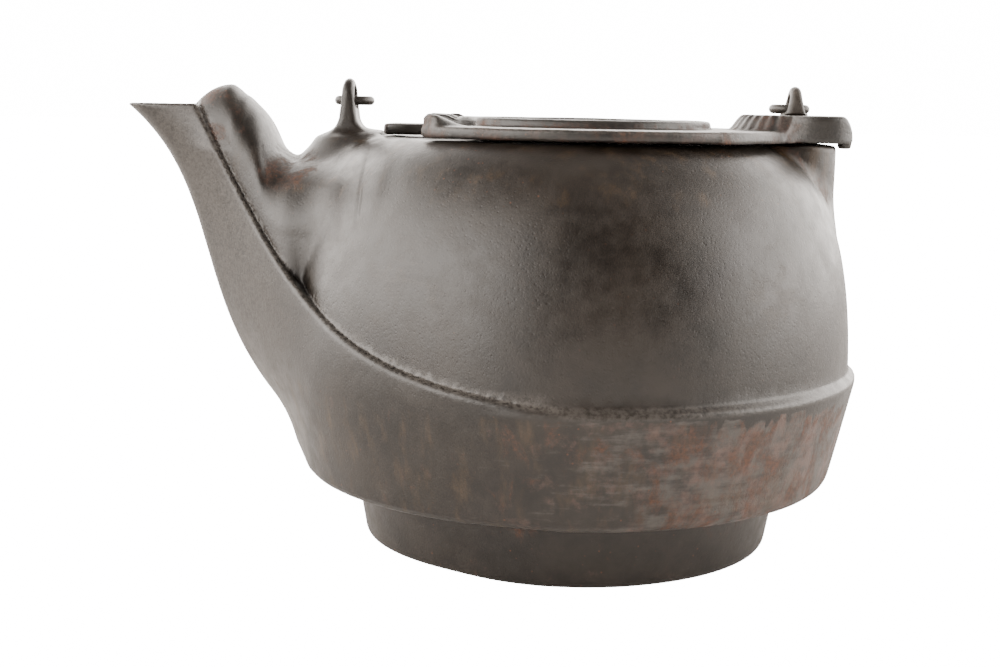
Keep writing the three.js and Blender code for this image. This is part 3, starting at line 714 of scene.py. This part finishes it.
def pivot_nut():
    low = NUT_BOTTOM_Z
    high = NUT_TOP_Z
    grid = Grid((PIVOT_X - 11, -11, low - 1), (PIVOT_X + 11, 11, high + 1), 0.35)
    field = grid.full(np.maximum(low - grid.z, grid.z - high))
    for k in range(3):
        turn = math.pi / 6 + k * math.pi / 3
        across = (grid.x - PIVOT_X) * math.cos(turn) + grid.y * math.sin(turn)
        field = smooth_max(field, grid.full(np.abs(across) - NUT_HALF_WIDTH), 0.5)
    radius = np.hypot(grid.x - PIVOT_X, grid.y)
    for end in (low - grid.z, grid.z - high):
        field = np.maximum(field, grid.full((radius - 8.9 + (end + 0.9) * 1.7) * 0.5))
    field = smooth_max(field, -post(grid, PIVOT_X, 0, BORE_RADIUS, low - 9, high + 9), 0.5)
    piece = mesh_of("nut", grid, field, 40000)
    set_wear(piece, 0.6, 0.1, 0.3, 0.3)
    return piece


# ---- The bail ----

def bail_point(x, along):
    """A point of the bail: how far across, and how far back along its swan-necked stems."""
    sloping = max(along - NECK_LENGTH, 0)
    y = min(along, NECK_LENGTH) + sloping * math.cos(NECK_DROP)
    return np.array([x, y, BAIL_Z - sloping * math.sin(NECK_DROP)])


def hook(ear_x, outward):
    """One hook's [corner, radius] pairs, from its free end to the wire's far corner."""
    stem = ear_x + outward * STEM_OFFSET
    inner = ear_x - outward * CURL_OFFSET
    return [
        (bail_point(ear_x + outward, CURL_REACH), 0),
        (bail_point(inner, CURL_REACH), 5),
        (bail_point(inner, 0), 5),
        (bail_point(stem, 0), 4),
        (bail_point(stem, NECK_LENGTH), 40),
        (bail_point(stem, NECK_LENGTH + BAIL_LENGTH), BAIL_CORNER),
    ]


def rounded_route(corners, spacing):
    """Points along a line through the corners, each corner turned at its radius."""
    points = [corners[0][0]]
    for (before, _), (at, radius), (after, _) in zip(corners, corners[1:], corners[2:]):
        back = (before - at) / np.linalg.norm(before - at)
        on = (after - at) / np.linalg.norm(after - at)
        half = math.acos(np.clip(back @ on, -1, 1)) / 2
        inward = (back + on) / np.linalg.norm(back + on)
        centre = at + inward * radius / math.sin(half)
        start = at + back * radius / math.tan(half) - centre
        end = at + on * radius / math.tan(half) - centre
        sweep = math.pi - 2 * half
        steps = max(6, int(radius * sweep / spacing))
        for k in range(steps + 1):
            t = k / steps
            mixed = math.sin((1 - t) * sweep) * start + math.sin(t * sweep) * end
            points.append(centre + mixed / math.sin(sweep))
    points.append(corners[-1][0])
    even = [points[0]]
    for a, b in zip(points, points[1:]):
        parts = max(1, int(np.linalg.norm(b - a) / (3 * spacing)))
        even += [a + (b - a) * (k + 1) / parts for k in range(parts)]
    return np.array(even)


def tube(name, route, radii, sides):
    """A round tube along a route, with its ends closed."""
    ahead = np.gradient(route, axis=0)
    ahead /= np.linalg.norm(ahead, axis=1)[:, None]
    side = np.cross(ahead[0], [0.31, 0.2, 0.93])
    vertices = []
    for at, forward, radius in zip(route, ahead, radii):
        side = side - forward * (side @ forward)
        side /= np.linalg.norm(side)
        other = np.cross(forward, side)
        for k in range(sides):
            angle = 2 * math.pi * k / sides
            vertices.append((at + (side * math.cos(angle) + other * math.sin(angle)) * radius) * MM)
    faces = []
    for i in range(len(route) - 1):
        for k in range(sides):
            a = i * sides + k
            b = i * sides + (k + 1) % sides
            faces.append((a, b, b + sides, a + sides))
    faces.append(tuple(reversed(range(sides))))
    faces.append(tuple(range(len(vertices) - sides, len(vertices))))
    mesh = bpy.data.meshes.new(name)
    mesh.from_pydata(vertices, [], faces)
    mesh.update()
    mesh.shade_smooth()
    piece = bpy.data.objects.new(name, mesh)
    bpy.context.scene.collection.objects.link(piece)
    return piece


def end_rounding(route, radius):
    """Radii that close a tube's ends as half balls."""
    step = np.linalg.norm(np.diff(route, axis=0), axis=1)
    along = np.concatenate([[0], np.cumsum(step)])
    to_end = np.minimum(along, along[-1] - along)
    short = np.clip(1 - to_end / radius, 0, 0.97)
    return radius * np.sqrt(1 - short ** 2)


def with_fine_ends(route, radius):
    """The same route with a few extra points near each end, for its rounding."""
    def fine(end, inward):
        direction = (inward - end) / np.linalg.norm(inward - end)
        return [end + direction * radius * s for s in (0, 0.04, 0.15, 0.35, 0.65, 1.0)]
    start = fine(route[0], route[1])
    finish = fine(route[-1], route[-2])[::-1]
    return np.array(start + list(route[1:-1]) + finish)


def bail_wire():
    corners = hook(EAR_X, -1) + hook(PIVOT_X, 1)[::-1]
    route = with_fine_ends(rounded_route(corners, 1.2), WIRE_RADIUS)
    wobble = np.sin(route[:, [0]] * 0.11 + route[:, [1]] * 0.07) * np.clip(route[:, [1]] / 60, 0, 1)
    route = route + wobble * [0.15, 0, 0.25]
    piece = tube("bail_wire", route, end_rounding(route, WIRE_RADIUS - 0.03), 20)
    points = points_of(piece)
    near_hooks = np.clip((30 - points[:, 1]) / 20, 0, 1)
    set_wear(piece, 0.3 + 0.3 * near_hooks, 0.15, 0.2 + 0.2 * near_hooks, 0.25)
    return piece


def coil_grip():
    """A close spring of wire round the bail, drawn in to the wire at both ends."""
    middle = bail_point((EAR_X + PIVOT_X) / 2, NECK_LENGTH + BAIL_LENGTH)
    coil_radius = GRIP_RADIUS - COIL_WIRE
    half = GRIP_LENGTH / 2 - COIL_WIRE
    turns = 2 * half / COIL_PITCH
    steps = int(turns * 22)
    route = []
    for k in range(steps + 1):
        along = -half + 2 * half * k / steps
        to_end = half - abs(along)
        radius = WIRE_RADIUS + COIL_WIRE + 0.2
        radius += (coil_radius - radius) * math.sin(min(to_end / 11, 1) * math.pi / 2)
        angle = 2 * math.pi * turns * k / steps
        route.append(middle + [along, radius * math.cos(angle), radius * math.sin(angle)])
    route = with_fine_ends(np.array(route), COIL_WIRE)
    piece = tube("coil_grip", route, end_rounding(route, COIL_WIRE), 10)
    points = points_of(piece)
    out = np.hypot(points[:, 1] - middle[1], points[:, 2] - middle[2])
    set_wear(piece, 0.55 - 0.3 * (out > GRIP_RADIUS - 0.8), 0.1, 0.2, 0.7 * (out > GRIP_RADIUS - 0.8))
    return piece


# ---- Materials ----

class Nodes:
    """Builds a material's node tree from short calls."""

    def __init__(self, name):
        self.material = bpy.data.materials.new(name)
        self.material.use_nodes = True
        self.tree = self.material.node_tree
        self.tree.nodes.clear()
        self.place = self.add("ShaderNodeTexCoord").outputs["Object"]
        self.wear = self.add("ShaderNodeSeparateColor", {"Color": self.stored("wear")}).outputs
        self.wear_edge = self.alpha("wear")

    def add(self, kind, inputs=None, **settings):
        node = self.tree.nodes.new(kind)
        for key, value in settings.items():
            setattr(node, key, value)
        for key, value in (inputs or {}).items():
            if isinstance(value, bpy.types.NodeSocket):
                self.tree.links.new(value, node.inputs[key])
            else:
                node.inputs[key].default_value = value
        return node

    def stored(self, name):
        return self.add("ShaderNodeAttribute", attribute_name=name).outputs["Color"]

    def alpha(self, name):
        return self.add("ShaderNodeAttribute", attribute_name=name).outputs["Alpha"]

    def noise(self, size, detail=4.0, roughness=0.55, stretch=(1, 1, 1), distortion=0.0):
        """Fractal noise whose largest blotches are about `size` millimetres across."""
        scaled = self.add("ShaderNodeMapping", {"Vector": self.place, "Scale": stretch}).outputs[0]
        inputs = {"Vector": scaled, "Scale": 1 / (size * MM), "Detail": detail}
        inputs.update({"Roughness": roughness, "Distortion": distortion})
        return self.add("ShaderNodeTexNoise", inputs).outputs["Fac"]

    def cells(self, size, randomness=1.0):
        inputs = {"Vector": self.place, "Scale": 1 / (size * MM), "Randomness": randomness}
        return self.add("ShaderNodeTexVoronoi", inputs).outputs["Distance"]

    def ease(self, value, low, high, to_low=0.0, to_high=1.0):
        inputs = {"Value": value, "From Min": low, "From Max": high, "To Min": to_low, "To Max": to_high}
        return self.add("ShaderNodeMapRange", inputs, interpolation_type="SMOOTHSTEP").outputs[0]

    def maths(self, operation, a, b=0.0, clamp=False):
        node = self.add("ShaderNodeMath", operation=operation, use_clamp=clamp)
        for socket, value in zip(node.inputs, (a, b)):
            if isinstance(value, bpy.types.NodeSocket):
                self.tree.links.new(value, socket)
            else:
                socket.default_value = value
        return node.outputs[0]

    def mix(self, under, over, share):
        node = self.add("ShaderNodeMix", data_type="RGBA")
        for key, value in ((0, share), (6, under), (7, over)):
            if isinstance(value, bpy.types.NodeSocket):
                self.tree.links.new(value, node.inputs[key])
            elif key:
                node.inputs[key].default_value = (*value, 1)
            else:
                node.inputs[key].default_value = value
        return node.outputs[2]

    def patches(self, mask, noise, reach=0.5, soft=0.12):
        """Ragged patches of a noise that spread as the mask grows."""
        return self.ease(self.maths("ADD", self.maths("MULTIPLY", mask, reach), noise), 0.78, 0.78 + soft)


RUST = (0.125, 0.045, 0.019)
DARK_RUST = (0.050, 0.023, 0.013)
WORN_EDGE = (0.15, 0.135, 0.12)
OCHRE = (0.135, 0.082, 0.038)
BLOOM_AND_HIGHLIGHT = (0.115, 0.105, 0.095)
PINK = (0.17, 0.095, 0.075)


def iron(name, dark, light, roughness=0.42, grain=0.5):
    """Satin cast iron with rust, mineral bloom, painted highlights and ochre stains where its wear says."""
    n = Nodes(name)
    rust, bloom_and_highlight, ochre = n.wear[0], n.wear[1], n.wear[2]
    broad = n.noise(38, 5, 0.6)
    middling = n.noise(9, 6, 0.65)
    fine = n.noise(1.6, 5, 0.7)
    streaks = n.noise(7, 5, 0.6, stretch=(1, 1, 0.22))
    brushed = n.noise(2.4, 4, 0.6, stretch=(0.14, 0.14, 1))
    clouds = n.maths("ADD", n.maths("MULTIPLY", broad, 0.6), n.maths("MULTIPLY", middling, 0.4))
    tone = n.ease(clouds, 0.36, 0.64)
    colour = n.mix(dark, light, tone)
    worn = n.maths("MULTIPLY", n.wear_edge, n.ease(fine, 0.35, 0.6))
    colour = n.mix(colour, WORN_EDGE, n.maths("MULTIPLY", worn, 0.7))
    stained = n.maths("MULTIPLY", n.patches(ochre, streaks, 0.40, 0.42), 0.5)
    colour = n.mix(colour, OCHRE, stained)
    # The pale layer is mineral bloom, and on the body's upper sides a painted highlight.
    wiped = n.maths("MULTIPLY", n.maths("ADD", middling, brushed), 0.5)
    pale = n.maths("MULTIPLY", n.patches(bloom_and_highlight, wiped, 0.42, 0.22), 0.6)
    colour = n.mix(colour, BLOOM_AND_HIGHLIGHT, pale)
    pinkish = n.maths("MULTIPLY", n.patches(rust, n.noise(13, 6, 0.7), 0.33, 0.2), 0.55)
    colour = n.mix(colour, PINK, n.maths("MULTIPLY", pinkish, bloom_and_highlight))
    blotches = n.noise(11, 8, 0.68, stretch=(1, 1, 0.6), distortion=0.5)
    crust = n.patches(rust, blotches, 0.36, 0.24)
    rust_tone = n.mix(DARK_RUST, RUST, n.ease(fine, 0.4, 0.62))
    colour = n.mix(colour, rust_tone, n.maths("MULTIPLY", crust, 0.7))
    flecks = n.maths("MULTIPLY", n.ease(n.cells(3.4), 0.15, 0.07), 0.7)
    flecks = n.maths("MULTIPLY", flecks, n.ease(n.noise(22, 3), 0.47, 0.62))
    flecks = n.maths("MULTIPLY", flecks, n.ease(rust, 0.05, 0.4, 0.25, 1))
    colour = n.mix(colour, RUST, flecks)
    uneven = n.ease(middling, 0.3, 0.7, roughness - 0.06, roughness + 0.08)
    rough = n.maths("ADD", uneven, n.maths("MULTIPLY", crust, 0.3))
    rough = n.maths("ADD", rough, n.maths("MULTIPLY", pale, 0.2), clamp=True)
    height = n.maths("ADD", n.maths("MULTIPLY", fine, 0.55), n.maths("MULTIPLY", middling, 0.45))
    height = n.maths("ADD", height, n.maths("MULTIPLY", n.ease(n.cells(1.9), 0.0, 0.35), 0.25))
    height = n.maths("ADD", height, n.maths("MULTIPLY", crust, 0.35))
    bump = n.add("ShaderNodeBump", {"Height": height, "Strength": grain, "Distance": 0.5 * MM}).outputs[0]
    shader = n.add("ShaderNodeBsdfPrincipled", {"Base Color": colour, "Roughness": rough, "Normal": bump})
    shader.inputs["IOR"].default_value = 1.6
    n.add("ShaderNodeOutputMaterial", {"Surface": shader.outputs[0]})
    return n.material


# ---- The pieces ----

body_iron = iron("body_iron", (0.0088, 0.0059, 0.0039), (0.022, 0.0162, 0.0118), 0.36, 0.32)
lid_iron = iron("lid_iron", (0.009, 0.0073, 0.0060), (0.025, 0.021, 0.017), 0.38, 0.5)
ear_iron = iron("ear_iron", (0.012, 0.009, 0.0065), (0.036, 0.027, 0.019), 0.45, 0.6)
hardware_iron = iron("hardware_iron", (0.012, 0.009, 0.007), (0.030, 0.022, 0.016), 0.5, 0.6)
wire_iron = iron("wire_iron", (0.013, 0.0105, 0.0085), (0.034, 0.028, 0.023), 0.4, 0.4)
grip_iron = iron("grip_iron", (0.012, 0.010, 0.0085), (0.040, 0.036, 0.032), 0.36, 0.35)

finish_piece(kettle_body(), body_iron, "kettle", "body_iron", "kettle_body")
finish_piece(swivel_lid(), lid_iron, "lid", "lid_iron", "swivel_lid")
finish_piece(lid_stop_pin(), hardware_iron, "lid", "hardware_iron", "lid_stop_pin")
finish_piece(rear_ear_post(), ear_iron, "kettle", "ear_iron", "rear_ear_post")
hub_washer = ring("hub_washer", HUB_WASHER_RADIUS, 174.0, 175.6, 6)
finish_piece(hub_washer, hardware_iron, "kettle", "hardware_iron", "lid_washer")
nut_washer = ring("nut_washer", NUT_WASHER_RADIUS, 146.1, 147.7, 7)
finish_piece(nut_washer, hardware_iron, "kettle", "hardware_iron", "pivot_washer")
finish_piece(pivot_nut(), hardware_iron, "kettle", "hardware_iron", "pivot_nut")
finish_piece(bail_wire(), wire_iron, "bail", "wire_iron", "bail")
finish_piece(coil_grip(), grip_iron, "bail", "grip_wire", "bail_grip")


# ---- Floor, light and camera ----

CAMERA_AT = (0.0, -655.6, 188.1)
CAMERA_PITCH = math.radians(8.71)
CAMERA_PAN = math.radians(-2.62)
CAMERA_ROLL = math.radians(1.15)
LENS = 53.86

# The studio's dark side and dark ceiling, in degrees.
DARK_TURN = 21
DARK_LIFT = 12
DARK_INNER = 30
DARK_OUTER = 60
CEILING_LOW = 22
CEILING_HIGH = 60


def add_floor():
    mesh = bpy.data.meshes.new("floor")
    size = 12.0
    corners = [(-size, -size, 0), (size, -size, 0), (size, size, 0), (-size, size, 0)]
    mesh.from_pydata(corners, [], [(0, 1, 2, 3)])
    floor = bpy.data.objects.new("floor", mesh)
    bpy.context.scene.collection.objects.link(floor)
    material = bpy.data.materials.new("white_sweep")
    material.use_nodes = True
    tree = material.node_tree
    tree.nodes.clear()
    diffuse = tree.nodes.new("ShaderNodeBsdfDiffuse")
    diffuse.inputs["Color"].default_value = (0.80, 0.78, 0.76, 1)
    glow = tree.nodes.new("ShaderNodeEmission")
    seen = tree.nodes.new("ShaderNodeLightPath")
    strength = tree.nodes.new("ShaderNodeMath")
    strength.operation = "MULTIPLY"
    strength.inputs[1].default_value = 16.0
    tree.links.new(seen.outputs["Is Camera Ray"], strength.inputs[0])
    tree.links.new(strength.outputs[0], glow.inputs["Strength"])
    both = tree.nodes.new("ShaderNodeAddShader")
    tree.links.new(diffuse.outputs[0], both.inputs[0])
    tree.links.new(glow.outputs[0], both.inputs[1])
    output = tree.nodes.new("ShaderNodeOutputMaterial")
    tree.links.new(both.outputs[0], output.inputs["Surface"])
    mesh.materials.append(material)


def add_light():
    """A white studio all round, with a dark side in front and to the right, and a dim ceiling."""
    world = bpy.data.worlds.new("studio")
    bpy.context.scene.world = world
    world.use_nodes = True
    tree = world.node_tree
    tree.nodes.clear()
    new = tree.nodes.new
    direction = new("ShaderNodeTexCoord")
    facing = new("ShaderNodeVectorMath")
    facing.operation = "DOT_PRODUCT"
    turn = math.radians(DARK_TURN)
    lift = math.radians(DARK_LIFT)
    facing.inputs[1].default_value = (
        math.sin(turn) * math.cos(lift), -math.cos(turn) * math.cos(lift), math.sin(lift))
    tree.links.new(direction.outputs["Generated"], facing.inputs[0])
    shade = new("ShaderNodeMapRange")
    shade.interpolation_type = "SMOOTHSTEP"
    shade.inputs["From Min"].default_value = math.cos(math.radians(DARK_INNER))
    shade.inputs["From Max"].default_value = math.cos(math.radians(DARK_OUTER))
    shade.inputs["To Min"].default_value = 0.03
    shade.inputs["To Max"].default_value = 1.0
    tree.links.new(facing.outputs["Value"], shade.inputs["Value"])
    height = new("ShaderNodeSeparateXYZ")
    tree.links.new(direction.outputs["Generated"], height.inputs[0])
    ceiling = new("ShaderNodeMapRange")
    ceiling.interpolation_type = "SMOOTHSTEP"
    ceiling.inputs["From Min"].default_value = math.sin(math.radians(CEILING_LOW))
    ceiling.inputs["From Max"].default_value = math.sin(math.radians(CEILING_HIGH))
    ceiling.inputs["To Min"].default_value = 7.0
    ceiling.inputs["To Max"].default_value = 0.4
    tree.links.new(height.outputs["Z"], ceiling.inputs["Value"])
    strength = new("ShaderNodeMath")
    strength.operation = "MULTIPLY"
    tree.links.new(shade.outputs[0], strength.inputs[0])
    tree.links.new(ceiling.outputs[0], strength.inputs[1])
    light = new("ShaderNodeBackground")
    light.inputs["Color"].default_value = (1.0, 0.94, 0.88, 1)
    tree.links.new(strength.outputs[0], light.inputs["Strength"])
    backdrop = new("ShaderNodeBackground")
    backdrop.inputs["Strength"].default_value = 20.0
    seen = new("ShaderNodeLightPath")
    choose = new("ShaderNodeMixShader")
    tree.links.new(seen.outputs["Is Camera Ray"], choose.inputs[0])
    tree.links.new(light.outputs[0], choose.inputs[1])
    tree.links.new(backdrop.outputs[0], choose.inputs[2])
    output = new("ShaderNodeOutputWorld")
    tree.links.new(choose.outputs[0], output.inputs["Surface"])


def add_camera():
    forward = Vector((
        math.sin(CAMERA_PAN) * math.cos(CAMERA_PITCH),
        math.cos(CAMERA_PAN) * math.cos(CAMERA_PITCH),
        -math.sin(CAMERA_PITCH)))
    level = forward.cross(Vector((0, 0, 1))).normalized()
    upright = level.cross(forward)
    right = level * math.cos(CAMERA_ROLL) + upright * math.sin(CAMERA_ROLL)
    up = upright * math.cos(CAMERA_ROLL) - level * math.sin(CAMERA_ROLL)
    data = bpy.data.cameras.new("camera")
    data.lens = LENS
    data.sensor_width = 36
    data.clip_start = 0.01
    camera = bpy.data.objects.new("camera", data)
    turn = Matrix((right, up, -forward)).transposed().to_4x4()
    camera.matrix_world = Matrix.Translation(Vector(CAMERA_AT) * MM) @ turn
    bpy.context.scene.collection.objects.link(camera)
    bpy.context.scene.camera = camera


add_floor()
add_light()
add_camera()
